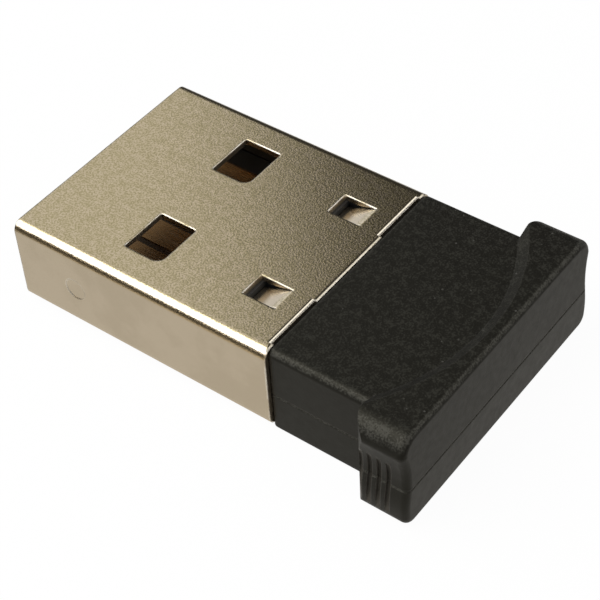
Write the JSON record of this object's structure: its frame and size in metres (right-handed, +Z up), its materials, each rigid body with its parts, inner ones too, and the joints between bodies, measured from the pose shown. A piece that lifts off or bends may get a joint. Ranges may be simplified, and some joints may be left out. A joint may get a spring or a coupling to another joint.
{
  "type": "usb dongle",
  "caption": "Very short wireless USB dongle: a folded metal plug with windows and latch tongues, and a black two-part cover with a wider ribbed grip.",
  "frame": {"origin": "middle of the dongle's length and width, on the plane of the grip's underside", "axes": "+X along the dongle from the plug's mouth to the grip, +Y across it, +Z up, out of the side that the plug's contacts face"},
  "size_m": [0.0216, 0.0144, 0.0052],
  "materials": {
    "plug_metal": "satin nickel plate",
    "black_cover": "fine grained",
    "black_insert": "matte",
    "board": "solder mask",
    "gold_contact": "gold plated",
    "chip_package": "matte",
    "crystal_can": "satin",
    "ceramic_body": "matte",
    "ferrite": "matte",
    "capacitor_body": "matte",
    "resistor_body": "gloss"
  },
  "bodies": {
    "root": {"plug_shell": "plug_metal", "upper_cover": "black_cover", "lower_cover": "black_cover", "board_carrier": "black_insert", "board_clamp": "black_insert", "circuit_board": "board", "contact_power": "gold_contact", "contact_data_minus": "gold_contact", "contact_data_plus": "gold_contact", "contact_ground": "gold_contact", "radio_chip": "chip_package", "memory_chip": "chip_package", "crystal": "crystal_can", "antenna": "ceramic_body", "rf_filter": "ceramic_body", "voltage_regulator": "chip_package", "ferrite_bead": "ferrite", "bulk_capacitor": "capacitor_body", "matching_inductor": "ceramic_body", "small_capacitors": "capacitor_body", "small_resistors": "resistor_body"}
  },
  "joints": []
}
